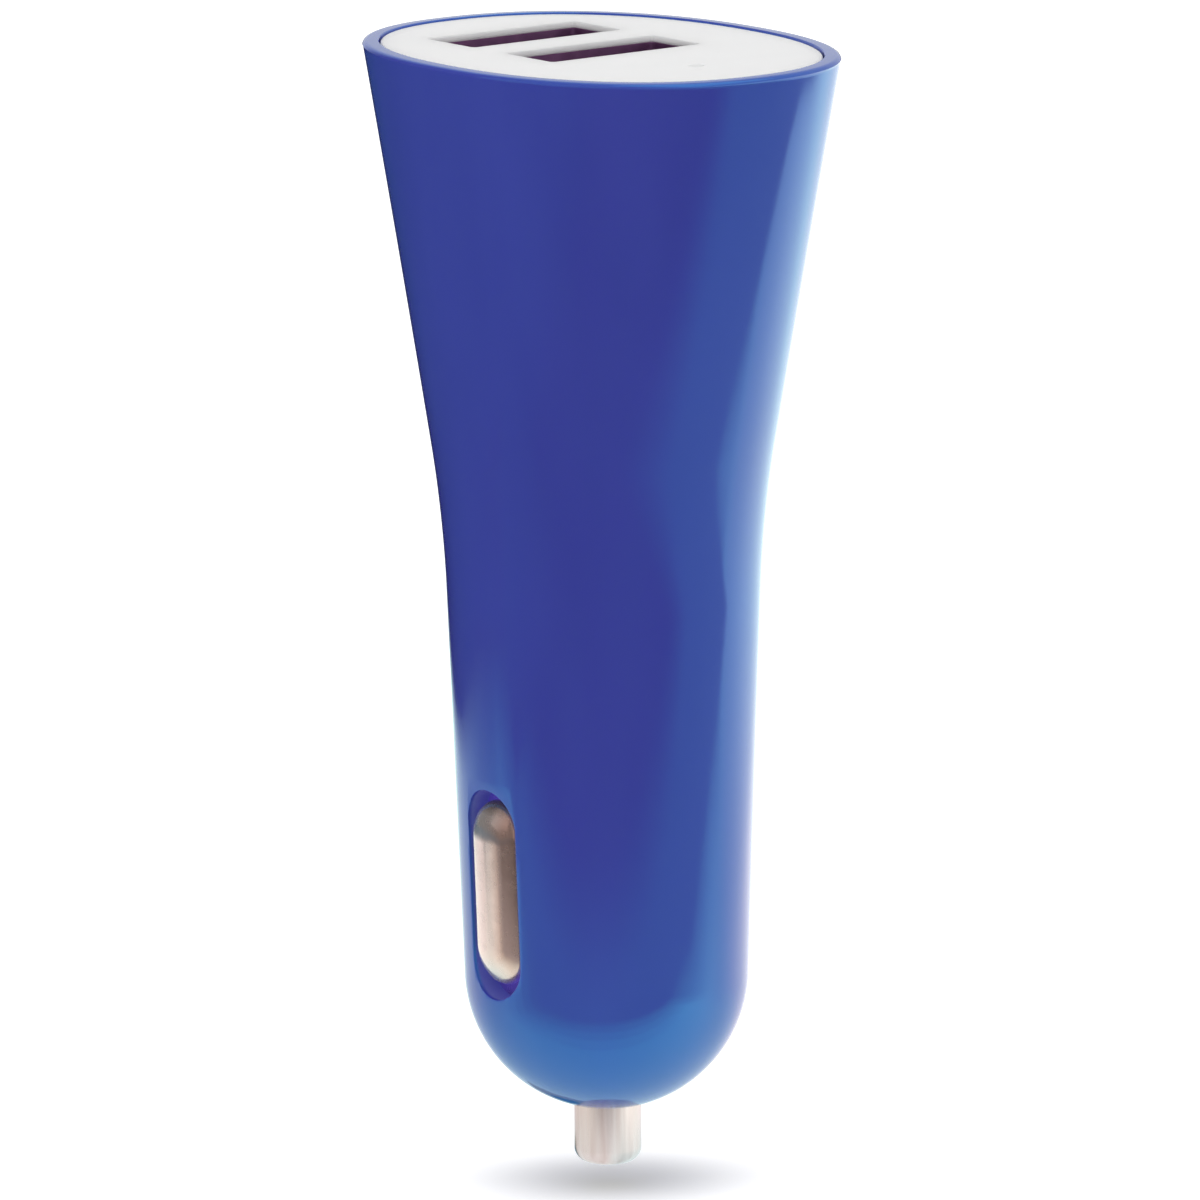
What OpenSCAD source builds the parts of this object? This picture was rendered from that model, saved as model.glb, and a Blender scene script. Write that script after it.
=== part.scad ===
// Car USB charger plug: a round plug barrel with a domed end that flares into an oval head.
// +Z runs up the plug from the end of the centre pin. X is the long side of the ports and the
// line of the two side contacts. Y is the long side of the oval head. Millimetres.

/* [Overall] */
// Height from the end of the centre pin to the rim of the head
total_h = 77; // [72:0.5:90]
// Wall of the moulded body
wall = 1.6; // [1.2:0.1:2]

/* [Barrel] */
// Diameter of the barrel where its domed end begins
barrel_d = 19.4; // [19:0.1:20.4]
// Diameter of the barrel at the neck
neck_d = 21.7; // [21:0.1:23]
// Height of the neck, where the flare sets off
neck_z = 45; // [43:0.5:47]
// Length of the soft blend on each side of the neck
neck_blend = 5; // [2:0.5:6]
// How far the centre pin stands out of the domed end
pin_stick = 3.9; // [3:0.1:4.5]

/* [Head] */
// Length of the oval head, along Y
head_len = 35.8; // [34:0.2:42]
// Width of the oval head, along X
head_w = 27.8; // [26:0.2:32]
// Squareness of the oval: 2 is an ellipse, more is squarer
head_square = 2.23; // [2:0.01:2.6]
// Wall of the body round the face plate
rim_wall = 1.1; // [0.8:0.05:1.4]
// Rounding of the rim's outer edge
rim_round = 0.35; // [0.1:0.05:0.6]

/* [Face plate] */
// Thickness of the face plate
plate_t = 2; // [1.4:0.1:2.6]
// How deep the face plate lies below the rim
plate_drop = 0.1; // [0:0.05:0.5]
// Gap between the face plate and the rim
plate_gap = 0.1; // [0.05:0.05:0.3]
// Depth of the skirt that locates the plate in the body
skirt_h = 3; // [1:0.5:5]
// Wall of the skirt
skirt_wall = 1; // [0.8:0.1:1.4]
// Plate left in front of a port's metal shell
port_lip = 0.45; // [0.4:0.05:0.9]

/* [Ports] */
// Width of a port's opening, along X
port_w = 12.5; // [12.3:0.1:12.9]
// Height of a port's opening, along Y
port_h = 5.12; // [5:0.02:5.4]
// Distance between the middles of the two ports
port_pitch = 8.6; // [8.6:0.1:9.4]
// Length of a port's metal shell
port_depth = 13.4; // [12:0.2:15]
// Sheet thickness of a port's metal shell
port_sheet = 0.3; // [0.2:0.05:0.35]
// Thickness of the tongue inside a port
tongue_t = 1.9; // [1.6:0.1:2]
// How far the tongue ends below the shell's mouth
tongue_drop = 2; // [1.5:0.1:3]

/* [Indicator] */
// Distance of the indicator from the front end of the head
led_inset = 7.6; // [7:0.1:8.4]
// Diameter of the indicator's hole
led_hole_d = 1.1; // [0.8:0.1:2]
// Diameter of the indicator's lens
led_d = 2.9; // [2.4:0.1:3.1]

/* [Side contacts] */
// Width of a side window
window_w = 5.2; // [4.8:0.1:5.6]
// Height of a side window
window_h = 14.6; // [13:0.2:15]
// Height of the middle of the side windows
window_z = 20.1; // [19.5:0.1:21]
// How far a contact stands proud of the barrel
contact_proud = 0.35; // [0.2:0.05:1]
// Width of the flat land on a contact
land_w = 3.4; // [2.4:0.1:3.8]
// Length of the flat land on a contact
land_l = 10.6; // [7:0.2:11]
// Gap between a contact and the ends of its window
contact_end_gap = 0.85; // [0.3:0.05:1.2]
// Sheet thickness of a contact
contact_sheet = 0.4; // [0.3:0.05:0.5]

/* [Centre pin] */
// Diameter of the centre pin
pin_d = 4.6; // [4:0.1:5]
// Thickness of the body under the pin's collar
pin_floor = 2.7; // [2.4:0.1:3]
// Travel of the centre pin
pin_travel = 2.4; // [1.5:0.1:2.5]
// Wire of the pin's spring
spring_wire = 0.5; // [0.4:0.05:0.6]
// Length of the pin's spring as fitted
spring_l = 9.7; // [9:0.1:10.5]
// Turns of the pin's spring
spring_turns = 7; // [5:1:8]

/* [Circuit board] */
// Place of the middle of the board along Y, halfway between the ports
board_y = 4; // [3.9:0.05:4.2]
// Thickness of the board
board_t = 1.6; // [1.2:0.1:1.6]
// Width of the board in the barrel
tongue_board_w = 12.2; // [11:0.2:12.4]
// Width of the board in the head
head_board_w = 15.8; // [15.4:0.2:16]

/* [Hidden] */

around = 72;
facets = 64;
eps = 0.02;

// Body: the barrel's radius grows evenly with height, and the flare adds to it above the neck
barrel_r = barrel_d / 2;
dome_z = pin_stick + barrel_r;
draft = (neck_d - barrel_d) / 2 / (neck_z - dome_z);
draft_deg = atan(draft);
join_z = neck_z - neck_blend;
ledge_z = total_h - plate_drop - plate_t;
floor_z = pin_stick + pin_floor;
loft_inset = 0.02;

function barrel_radius(z) = barrel_r + draft * (z - dome_z);
function bore_radius(z) = barrel_radius(z) - wall;
function flare_run(z) = z <= join_z ? 0 :
  z < neck_z + neck_blend ? pow(z - join_z, 2) / (4 * neck_blend) : z - neck_z;
function flare(z) = flare_run(z) / (total_h - neck_z);
function half_x(z) = barrel_radius(z) + (head_w / 2 - barrel_radius(total_h)) * flare(z);
function half_y(z) = barrel_radius(z) + (head_len / 2 - barrel_radius(total_h)) * flare(z);
function squareness(z) = 2 + (head_square - 2) * flare(z);
function bent(c, n) = sign(c) * pow(abs(c), 2 / n);
function oval(z, inset) = [for (i = [0 : around - 1]) let (a = 360 * i / around)
  [(half_x(z) - inset) * bent(cos(a), squareness(z)),
  (half_y(z) - inset) * bent(sin(a), squareness(z))]];

// A solid through a list of [height, height of the section it takes, inset]
module oval_loft(levels) {
  n = len(levels);
  points = [for (l = levels) for (p = oval(l[1], l[2])) [p[0], p[1], l[0]]];
  sides = [for (k = [0 : n - 2]) for (i = [0 : around - 1]) let (j = (i + 1) % around)
    [k * around + i, (k + 1) * around + i, (k + 1) * around + j, k * around + j]];
  bottom = [[for (i = [0 : around - 1]) i]];
  top = [[for (i = [around - 1 : -1 : 0]) (n - 1) * around + i]];
  polyhedron(points, concat(bottom, sides, top), convexity = 4);
}

// Points of a rectangle with rounded corners
function round_rect(w, h, r) = [for (q = [0 : 3]) for (s = [0 : 4]) let (a = 90 * q + 22.5 * s)
  [(q == 0 || q == 3 ? 1 : -1) * (w / 2 - r) + r * cos(a), (q < 2 ? 1 : -1) * (h / 2 - r) + r * sin(a)]];

module box(x, y, z) {
  translate([x[0], y[0], z[0]]) cube([x[1] - x[0], y[1] - y[0], z[1] - z[0]]);
}

// Heights at which the flare is drawn: close together in the blend, wide apart above it
blend_levels = [for (i = [0 : 8]) join_z + i * neck_blend / 4];
rim_low = total_h - rim_round;
straight_levels = [for (i = [1 : 5]) neck_z + neck_blend + i * (rim_low - neck_z - neck_blend) / 5];

// Ports
port_y = port_pitch / 2;
shell_w = port_w + 2 * port_sheet;
shell_h = port_h + 2 * port_sheet;
port_top = total_h - plate_drop - port_lip - eps;
port_low = port_top - port_depth;
cutout_play = 0.05;
pocket_play = 0.15;

// Board
board_front = board_y - board_t / 2;
board_rear = board_y + board_t / 2;
board_low = dome_z + 1.4;
rail_play = 0.12;
rail_t = 1;
rail_foot = 1.6;
rail_root = 0.3;
solder = 0.05;
// Slots for the legs of the two port shells lie at two heights, and the board ends above the upper one
leg_w = 2.2;
leg_play = 0.1;
leg_step = 3.6;
leg_z_rear = port_top - 6.8;
leg_z_front = leg_z_rear - leg_step;
board_top = leg_z_rear + 1.9;

function rail_reach(y) = sqrt(pow(barrel_r - rail_root, 2) - y * y);

// Side contacts, in a frame on the barrel's surface that leans with it
contact_r = barrel_radius(window_z);
flange_w = 6.2;
flange_l = window_h + 3;
flange_out = contact_r - (sqrt(pow(bore_radius(window_z), 2) - pow(flange_w / 2, 2)) - 0.12);
bump_w = window_w - 0.3;
bump_l = window_h - 2 * contact_end_gap;
bump_fall = 1.1;
bump_root = -flange_out - contact_sheet;
leaf_w = 4;
tab_low = window_z + 11.4;
tab_h = 3;
tab_reach = 3.4;
pivot_z = tab_low + tab_h / 2;

// Centre pin and spring
pin_r = pin_d / 2;
pin_play = 0.1;
pin_round = 1;
collar_r = 3.2;
collar_t = 1;
spigot_r = 1.7;
spigot_h = 1.8;
well_r = collar_r + 0.25;
well_wall = 1;
spring_r = 2.45;
spring_rise = spring_l - spring_wire - 2 * eps;
collar_top = floor_z + eps + collar_t;
well_top = collar_top + pin_travel + 3;
seat_z = collar_top + spring_l;
seat_r = board_front - 0.2;
seat_t = 0.5;
seat_leg_w = 2.4;
seat_leg_h = 6;

// Indicator, held in the face plate's boss, with its leads bent to the board below the ports
led_y = led_inset - head_len / 2;
led_top = ledge_z - 0.1;
led_h = 4.2;
led_play = 0.05;
led_boss = 0.9;
led_lead = 0.5;
led_lead_x = 0.8;
led_leg_z = port_low - 4.4;

module window_cut() {
  for (side = [-1, 1])
    translate([side * (barrel_r + 1), 0, window_z]) {
      for (end = [-1, 1])
        translate([0, 0, end * (window_h - window_w) / 2])
          rotate([0, 90, 0]) cylinder(d = window_w, h = 8, center = true, $fn = facets);
      cube([8, window_w, window_h - window_w], center = true);
    }
}

// Barrel and dome, turned about the axis
module barrel_outer() {
  rotate_extrude($fn = around) {
    intersection() {
      translate([0, dome_z]) circle(r = barrel_r, $fn = around);
      translate([0, pin_stick - 1]) square([barrel_r + 1, dome_z - pin_stick + 1]);
    }
    polygon([[0, dome_z], [barrel_r, dome_z], [barrel_radius(join_z), join_z], [0, join_z]]);
  }
}

module barrel_bore() {
  rotate_extrude($fn = around) {
    intersection() {
      translate([0, dome_z]) circle(r = barrel_r - wall, $fn = around);
      translate([0, floor_z]) square([barrel_r, dome_z - floor_z]);
    }
    polygon([[0, dome_z], [barrel_r - wall, dome_z], [bore_radius(join_z), join_z], [0, join_z]]);
  }
}

module flare_outer() {
  oval_loft(concat(
    [[join_z - 1, join_z - 1, loft_inset]],
    [for (z = blend_levels) [z, z, loft_inset]],
    [for (z = straight_levels) [z, z, loft_inset]],
    [for (a = [30, 60, 90])
      [rim_low + rim_round * sin(a), total_h, loft_inset + rim_round * (1 - cos(a))]]));
}

module flare_bore() {
  oval_loft(concat(
    [[join_z - 1, join_z - 1, wall + loft_inset]],
    [for (i = [0 : 2 : 8]) let (z = blend_levels[i]) [z, z, wall + loft_inset]],
    [for (f = [1, 2, 3]) let (z = neck_z + neck_blend + f * (ledge_z + eps - neck_z - neck_blend) / 3)
      [z, z, wall + loft_inset]]));
}

// Rails that the board slides down between, and the feet that it stands on
module board_rails() {
  rail_in = tongue_board_w / 2 - 0.6;
  rear_y = [board_rear + rail_play, board_rear + rail_play + rail_t];
  fore_y = [board_front - rail_play - rail_t, board_front - rail_play];
  rear_out = rail_reach(rear_y[1]);
  fore_out = rail_reach(fore_y[1]);
  foot_z = board_low - rail_foot;
  for (side = [-1, 1]) {
    rear = side > 0 ? [rail_in, rear_out] : [-rear_out, -rail_in];
    fore = side > 0 ? [rail_in, fore_out] : [-fore_out, -rail_in];
    box(rear, rear_y, [foot_z, join_z]);
    box(fore, fore_y, [tab_low + tab_h + 1.5, join_z]);
    box(rear, [board_front + 0.2, rear_y[0] + rail_t / 2], [foot_z, board_low - 0.1]);
  }
}

module body_shell() color([0.22, 0.29, 0.6]) {
  difference() {
    union() {
      barrel_outer();
      flare_outer();
    }
    difference() {
      union() {
        barrel_bore();
        flare_bore();
      }
      translate([0, 0, floor_z - 1]) difference() {
        cylinder(r = well_r + well_wall, h = well_top - floor_z + 1, $fn = facets);
        cylinder(r = well_r, h = well_top - floor_z + 3, $fn = facets);
      }
      board_rails();
    }
    translate([0, 0, ledge_z]) linear_extrude(height = plate_t + plate_drop + 1)
      polygon(oval(total_h, rim_wall));
    window_cut();
    translate([0, 0, pin_stick - 2]) cylinder(r = pin_r + pin_play, h = pin_floor + 3, $fn = facets);
  }
}

// Turns the front port's pieces half round the board's middle line, which gives the rear port's
module rear_side() {
  translate([0, board_y, 0]) rotate([0, 0, 180]) translate([0, -board_y, 0]) children();
}

module port_outline(play) {
  polygon(round_rect(shell_w + 2 * play, shell_h + 2 * play, 0.7 + play));
}

module face_plate() color([0.94, 0.94, 0.95]) {
  boss_r = led_d / 2 + led_boss;
  difference() {
    union() {
      translate([0, 0, ledge_z]) linear_extrude(height = plate_t)
        polygon(oval(total_h, rim_wall + plate_gap));
      difference() {
        oval_loft([for (z = [ledge_z - skirt_h, ledge_z + 0.5]) [z, z, wall + plate_gap]]);
        oval_loft([for (z = [ledge_z - skirt_h - 0.5, ledge_z]) [z, z, wall + plate_gap + skirt_wall]]);
      }
      translate([0, led_y, ledge_z - skirt_h]) cylinder(r = boss_r, h = skirt_h + 0.5, $fn = facets);
    }
    for (side = [-1, 1]) translate([0, board_y + side * port_y, 0]) {
      translate([0, 0, ledge_z - 1]) linear_extrude(height = plate_t + 2)
        polygon(round_rect(port_w + 2 * cutout_play, port_h + 2 * cutout_play, 0.3));
      translate([0, 0, ledge_z - 1]) linear_extrude(height = plate_t - port_lip + 1)
        port_outline(pocket_play);
    }
    translate([0, led_y, ledge_z - 1]) cylinder(d = led_hole_d, h = plate_t + 2, $fn = facets);
    translate([0, led_y, ledge_z - skirt_h - 1])
      cylinder(r = led_d / 2 + led_play, h = skirt_h + 1, $fn = facets);
  }
}

module centre_pin() color([0.8, 0.76, 0.74]) {
  rotate_extrude($fn = facets) {
    translate([0, pin_round]) square([pin_r, floor_z + eps - pin_round]);
    square([pin_r - pin_round, pin_round + eps]);
    intersection() {
      translate([pin_r - pin_round, pin_round]) circle(r = pin_round, $fn = facets);
      square([pin_r, pin_round + eps]);
    }
    translate([0, floor_z + eps]) square([collar_r, collar_t]);
    translate([0, floor_z + eps]) square([spigot_r, collar_t + spigot_h]);
  }
}

// Share of the spring's rise at a share t of its turns: the first and last turns lie almost flat
function climb(t) = t - sin(720 * t) / (4 * PI) * 0.3;

// Point of the wire's skin at a share t of the turns and an angle b round the wire
function wire_point(t, b) = let (a = 360 * spring_turns * t, r = spring_r + spring_wire / 2 * cos(b))
  [r * cos(a), r * sin(a), collar_top + eps + spring_wire / 2 * (1 + sin(b)) + spring_rise * climb(t)];

// A round wire swept up a helix
module pin_spring() color([0.72, 0.72, 0.74]) {
  steps = 18;
  ring = 6;
  n = spring_turns * steps;
  points = [for (i = [0 : n]) for (k = [0 : ring - 1]) wire_point(i / n, 360 * k / ring)];
  skin = [for (i = [0 : n - 1]) for (k = [0 : ring - 1]) let (m = (k + 1) % ring)
    [i * ring + k, i * ring + m, (i + 1) * ring + m, (i + 1) * ring + k]];
  ends = [[for (k = [ring - 1 : -1 : 0]) k], [for (k = [0 : ring - 1]) n * ring + k]];
  polyhedron(points, concat(skin, ends), convexity = 10);
}

// Turned cup on a bent leg that is soldered to the board
module spring_seat() color([0.83, 0.72, 0.42]) {
  leg = [-seat_leg_w / 2, seat_leg_w / 2];
  translate([0, 0, seat_z]) cylinder(r = seat_r, h = seat_t, $fn = facets);
  translate([0, 0, seat_z - spigot_h]) cylinder(r = spigot_r, h = spigot_h + eps, $fn = facets);
  box(leg, [seat_r - 1, board_front - solder], [seat_z, seat_z + seat_t]);
  box(leg, [board_front - solder - seat_t, board_front - solder], [seat_z, seat_z + seat_leg_h]);
}

// Long shape with round ends, drawn from x = low to high: two discs at each end for a hull
module round_ends(w, l, low, high) {
  for (end = [-1, 1])
    translate([low, 0, end * (l - w) / 2]) rotate([0, 90, 0]) cylinder(d = w, h = high - low, $fn = 32);
}

module bump(t) {
  hull() {
    round_ends(land_w - 0.6 * t, land_l - 0.6 * t, contact_proud - 0.1 - t, contact_proud - t);
    round_ends(bump_w - 2 * t, bump_l - 2 * t, bump_root - (t > 0 ? eps : 0), contact_proud - bump_fall - t);
  }
}

module flange(depth) {
  straight = flange_l - flange_w;
  box(depth, [-flange_w / 2, flange_w / 2], [-straight / 2, straight / 2]);
  for (end = [-1, 1])
    translate([depth[0], 0, end * straight / 2])
      rotate([0, 90, 0]) cylinder(d = flange_w, h = depth[1] - depth[0], $fn = facets);
}

// Pressed from one strip: bump, flange behind the window, spring leaf and solder tab
module side_contact() {
  s = contact_sheet;
  inner = [bump_root, -flange_out];
  tab = [tab_low - window_z, tab_low - window_z + tab_h];
  translate([contact_r, 0, window_z]) rotate([0, draft_deg, 0]) {
    difference() {
      union() {
        bump(0);
        flange(inner);
      }
      bump(s);
    }
    box(inner, [-leaf_w / 2, leaf_w / 2], [flange_l / 2 - eps, tab[1]]);
    box(inner, [-leaf_w / 2, board_front - solder], tab);
    box([inner[0] - tab_reach, inner[1]], [board_front - solder - s, board_front - solder], tab);
  }
}

module side_contact_left() color([0.78, 0.74, 0.72]) mirror([1, 0, 0]) side_contact();

module side_contact_right() color([0.78, 0.74, 0.72]) side_contact();

module circuit_board() color([0.1, 0.36, 0.22]) {
  half_low = tongue_board_w / 2;
  half_top = head_board_w / 2;
  step_low = neck_z + 1;
  step_high = step_low + 5;
  difference() {
    translate([0, board_rear, 0]) rotate([90, 0, 0]) linear_extrude(height = board_t)
      polygon([[-half_low, board_low], [half_low, board_low], [half_low, step_low], [half_top, step_high],
        [half_top, board_top], [-half_top, board_top], [-half_top, step_high], [-half_low, step_low]]);
    for (side = [-1, 1]) for (z = [leg_z_front, leg_z_rear])
      translate([side * (shell_w - port_sheet) / 2, board_y, z])
        cube([port_sheet + 2 * leg_play, board_t + 1, leg_w + 2 * leg_play], center = true);
  }
}

finger_w = 1.8;
finger_l = 6;
finger_slot = 0.4;

// Folded metal shell of a port, open at both ends, with its two legs through the board
module port_shell(leg_z) {
  y = board_y - port_y;
  difference() {
    translate([0, y, port_low]) linear_extrude(height = port_depth) difference() {
      port_outline(0);
      polygon(round_rect(port_w, port_h, 0.4));
    }
    // Spring fingers are cut free on three sides in both wide walls
    for (face = [-1, 1]) for (side = [-1, 1])
      translate([side * port_w / 4, y + face * (shell_h - port_sheet) / 2, port_top - 6.4])
        difference() {
          cube([finger_w + 2 * finger_slot, 1, finger_l], center = true);
          translate([0, 0, 0.5]) cube([finger_w, 2, finger_l + 0.2], center = true);
        }
  }
  for (side = [-1, 1]) {
    x = side * (shell_w - port_sheet) / 2;
    box([x - port_sheet / 2, x + port_sheet / 2], [y, board_rear + 0.4],
      [leg_z - leg_w / 2, leg_z + leg_w / 2]);
  }
}

tongue_w = port_w - 1.4;
tongue_top = port_top - tongue_drop;
block_w = port_w - 0.2;
block_h = port_h - 0.2;
block_top = port_low + 2.4;
block_low = port_low - 1.5;

// The four contact strips of a port, each in a groove of the tongue
strip_x = [-3.5, -1, 1, 3.5];
strip_w = 1;
strip_t = 0.3;
strip_proud = 0.12;
strip_low = block_low - 0.7;
groove_play = 0.05;

// Moulded tongue, with the block that closes the shell and the lip that stands on the board
module port_tongue() {
  y = board_y - port_y;
  groove = strip_w / 2 + groove_play;
  difference() {
    union() {
      box([-tongue_w / 2, tongue_w / 2], [y, y + tongue_t], [block_top - eps, tongue_top]);
      translate([0, y, block_low]) linear_extrude(height = block_top - block_low)
        polygon(round_rect(block_w, block_h, 0.4));
      box([-block_w / 2, block_w / 2], [y, board_front - solder], [block_low, port_low - 0.1]);
    }
    for (x = strip_x)
      box([x - groove, x + groove], [y - strip_proud - eps, y + strip_t - strip_proud + eps],
        [block_low - 0.5, tongue_top - 0.8]);
  }
}

module port_contacts() {
  y = board_y - port_y - strip_proud;
  for (x = strip_x) {
    wide = [x - strip_w / 2, x + strip_w / 2];
    box(wide, [y, y + strip_t], [strip_low, tongue_top - 1]);
    box(wide, [y, board_front - solder], [strip_low, strip_low + strip_t]);
    box(wide, [board_front - solder - strip_t, board_front - solder],
      [strip_low - 1.2, strip_low + strip_t]);
  }
}

module port_shell_front() color([0.62, 0.6, 0.64]) port_shell(leg_z_front);
module port_shell_rear() color([0.62, 0.6, 0.64]) rear_side() port_shell(leg_z_rear);
module port_tongue_front() color([0.12, 0.11, 0.13]) port_tongue();
module port_tongue_rear() color([0.12, 0.11, 0.13]) rear_side() port_tongue();
module port_contacts_front() color([0.83, 0.7, 0.35]) port_contacts();
module port_contacts_rear() color([0.83, 0.7, 0.35]) rear_side() port_contacts();

// Input capacitor, standing over the contacts' tabs, and output capacitor, lying below the rear port
in_cap_d = 6.3;
in_cap_h = 9;
in_cap_z = tab_low + tab_h + 0.5;
out_cap_d = 5;
out_cap_h = 8;
out_cap_z = port_low - 7;
cap_leg = 0.5;
cap_leg_x = 1.25;
cap_leg_rise = 1.2;

// Drum choke on the front of the board, its axis along Y, halfway between capacitor and indicator leads
choke_z = (in_cap_z + in_cap_h + cap_leg_rise + led_leg_z) / 2;
choke_r = 4;
choke_h = 6.4;
choke_flange = 1;
choke_hub_r = 1.7;

module choke_at() {
  translate([0, board_front - solder, choke_z]) rotate([90, 0, 0]) children();
}

module inductor_core() color([0.2, 0.2, 0.21]) choke_at() {
  cylinder(r = choke_r, h = choke_flange, $fn = facets);
  translate([0, 0, choke_flange - eps])
    cylinder(r = choke_hub_r, h = choke_h - 2 * choke_flange + 2 * eps, $fn = facets);
  translate([0, 0, choke_h - choke_flange]) cylinder(r = choke_r, h = choke_flange, $fn = facets);
}

// Turns of enamelled wire, drawn as a wound drum with a groove between each two turns
module inductor_winding() color([0.72, 0.42, 0.2]) choke_at() {
  turns = 6;
  groove = 1.5;
  crest = 1.8;
  wound = choke_h - 2 * choke_flange - 2 * eps;
  pitch = wound / turns;
  waves = [for (i = [0 : turns - 1]) each
    [[groove, i * pitch], [crest, (i + 0.3) * pitch], [crest, (i + 0.7) * pitch]]];
  rotate_extrude($fn = facets) translate([choke_hub_r + eps, choke_flange + eps])
    polygon(concat([[0, wound], [0, 0]], waves, [[groove, wound]]));
}

// Electrolytic capacitor standing up from z = 0, with its rolled groove and two legs that bend to the board
module capacitor(d, h, to_board) {
  r = d / 2;
  bevel = 0.3;
  groove = h - 1.45;
  rotate_extrude($fn = facets)
    polygon([[0, 0], [r - bevel, 0], [r, bevel], [r, groove - 1.5 * bevel], [r - bevel, groove - bevel / 2],
      [r - bevel, groove + bevel / 2], [r, groove + 1.5 * bevel], [r, h - bevel], [r - bevel, h], [0, h]]);
  for (side = [-1, 1]) {
    leg = [side * cap_leg_x - cap_leg / 2, side * cap_leg_x + cap_leg / 2];
    box(leg, [-cap_leg / 2, cap_leg / 2], [h - 0.1, h + cap_leg_rise]);
    box(leg, [-cap_leg / 2, to_board], [h + cap_leg_rise - cap_leg, h + cap_leg_rise]);
  }
}

module input_capacitor() color([0.13, 0.13, 0.16])
  translate([0, board_front - solder - in_cap_d / 2, in_cap_z])
    capacitor(in_cap_d, in_cap_h, in_cap_d / 2);

module output_capacitor() color([0.13, 0.13, 0.16])
  translate([-out_cap_h / 2, board_rear + solder + out_cap_d / 2, out_cap_z])
    rotate([90, 0, 90]) rotate([0, 0, -90]) capacitor(out_cap_d, out_cap_h, out_cap_d / 2);

fuse_r = 1.2;
fuse_l = 6;
fuse_lead = 0.5;
fuse_gap = 0.2;
fuse_z = seat_z + 7.6;

module input_fuse() color([0.3, 0.55, 0.35]) {
  y = board_front - solder - fuse_r - 0.1;
  half = fuse_lead / 2;
  low = fuse_z - fuse_gap - fuse_lead;
  high = fuse_z + fuse_l + fuse_gap;
  translate([0, y, fuse_z]) cylinder(r = fuse_r, h = fuse_l, $fn = facets);
  for (z = [low, high]) box([-half, half], [y - half, board_front - solder], [z, z + fuse_lead]);
  box([-half, half], [y - half, y + half], [low, fuse_z + 0.1]);
  box([-half, half], [y - half, y + half], [fuse_z + fuse_l - 0.1, high + fuse_lead]);
}

// Chip on the rear of the board: body with a row of legs on each long side
module chip(w, l, t, legs, pitch, z) {
  y = board_rear + solder;
  leg_half = 0.2;
  foot = 0.9;
  knee = 0.3;
  under = 0.15;
  box([-w / 2, w / 2], [y + under, y + under + t], [z - l / 2, z + l / 2]);
  for (side = [-1, 1]) for (i = [0 : legs - 1]) {
    leg_z = z + (i - (legs - 1) / 2) * pitch;
    x0 = side * (w / 2 - 0.1);
    x1 = side * (w / 2 + knee);
    x2 = side * (w / 2 + foot);
    box([min(x0, x2), max(x0, x2)], [y, y + 0.2], [leg_z - leg_half, leg_z + leg_half]);
    box([min(x0, x1), max(x0, x1)], [y, y + under + t / 2], [leg_z - leg_half, leg_z + leg_half]);
  }
}

module converter_chip() color([0.1, 0.1, 0.11]) chip(3.9, 4.9, 1.45, 4, 1.27, tab_low + 6.5);
module charge_chip() color([0.1, 0.1, 0.11]) chip(1.6, 2.9, 1.1, 3, 0.95, neck_z + 2);

diode_z = tab_low - 1.5;
diode_w = 4.3;
diode_l = 2.6;

module rectifier_diode() color([0.14, 0.14, 0.15]) {
  y = board_rear + solder;
  box([-diode_w / 2, diode_w / 2], [y + 0.1, y + 2.2], [diode_z - diode_l / 2, diode_z + diode_l / 2]);
  for (side = [-1, 1]) {
    x = side * (diode_w / 2 + 0.15);
    box([x - 0.35, x + 0.35], [y, y + 1.1], [diode_z - 0.7, diode_z + 0.7]);
  }
}

// Places of the small parts on the rear of the board: across it, and up it
resistor_places = concat(
  [for (x = [-3.6, -1.2, 1.2, 3.6]) [x, neck_z - 0.5]],
  [for (x = [-3.6, 3.6]) [x, neck_z + 2]]);
ceramic_places = concat(
  [for (x = [-3.6, 3.6]) [x, tab_low + 2.5]],
  [for (x = [-3, 3]) [x, window_z + 4.9]]);

// A small part of that width, length and height at each place
module small_parts(places, w, l, t) {
  y = board_rear + solder;
  for (p = places) box([p[0] - w / 2, p[0] + w / 2], [y, y + t], [p[1] - l / 2, p[1] + l / 2]);
}

module chip_resistors() color([0.16, 0.16, 0.17]) small_parts(resistor_places, 0.8, 1.6, 0.45);
module chip_capacitors() color([0.62, 0.5, 0.36]) small_parts(ceramic_places, 1.3, 2, 1);

module indicator_led() color([0.85, 0.87, 0.9]) translate([0, led_y, led_top - led_h]) {
  r = led_d / 2;
  rotate_extrude($fn = facets) {
    square([r, led_h - r]);
    intersection() {
      translate([0, led_h - r]) circle(r = r, $fn = facets);
      translate([0, led_h - r]) square([r, r]);
    }
  }
}

module indicator_leads() color([0.75, 0.75, 0.76])
  for (side = [-1, 1]) {
    half = led_lead / 2;
    x = [side * led_lead_x - half, side * led_lead_x + half];
    box(x, [led_y - half, led_y + half], [led_leg_z, led_top - led_h - eps]);
    box(x, [led_y - half, board_front - solder], [led_leg_z, led_leg_z + led_lead]);
  }

body_shell();
face_plate();
centre_pin();
pin_spring();
spring_seat();
side_contact_left();
side_contact_right();
circuit_board();
port_shell_front();
port_shell_rear();
port_tongue_front();
port_tongue_rear();
port_contacts_front();
port_contacts_rear();
inductor_core();
inductor_winding();
input_capacitor();
output_capacitor();
input_fuse();
converter_chip();
charge_chip();
rectifier_diode();
chip_resistors();
chip_capacitors();
indicator_led();
indicator_leads();
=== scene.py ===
# Car USB charger plug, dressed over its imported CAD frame.
# The file goes through the plug in the order of its assembly, and ends with the studio and the camera.
import math

import bmesh
import bpy
from mathutils import Matrix, Vector


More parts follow.
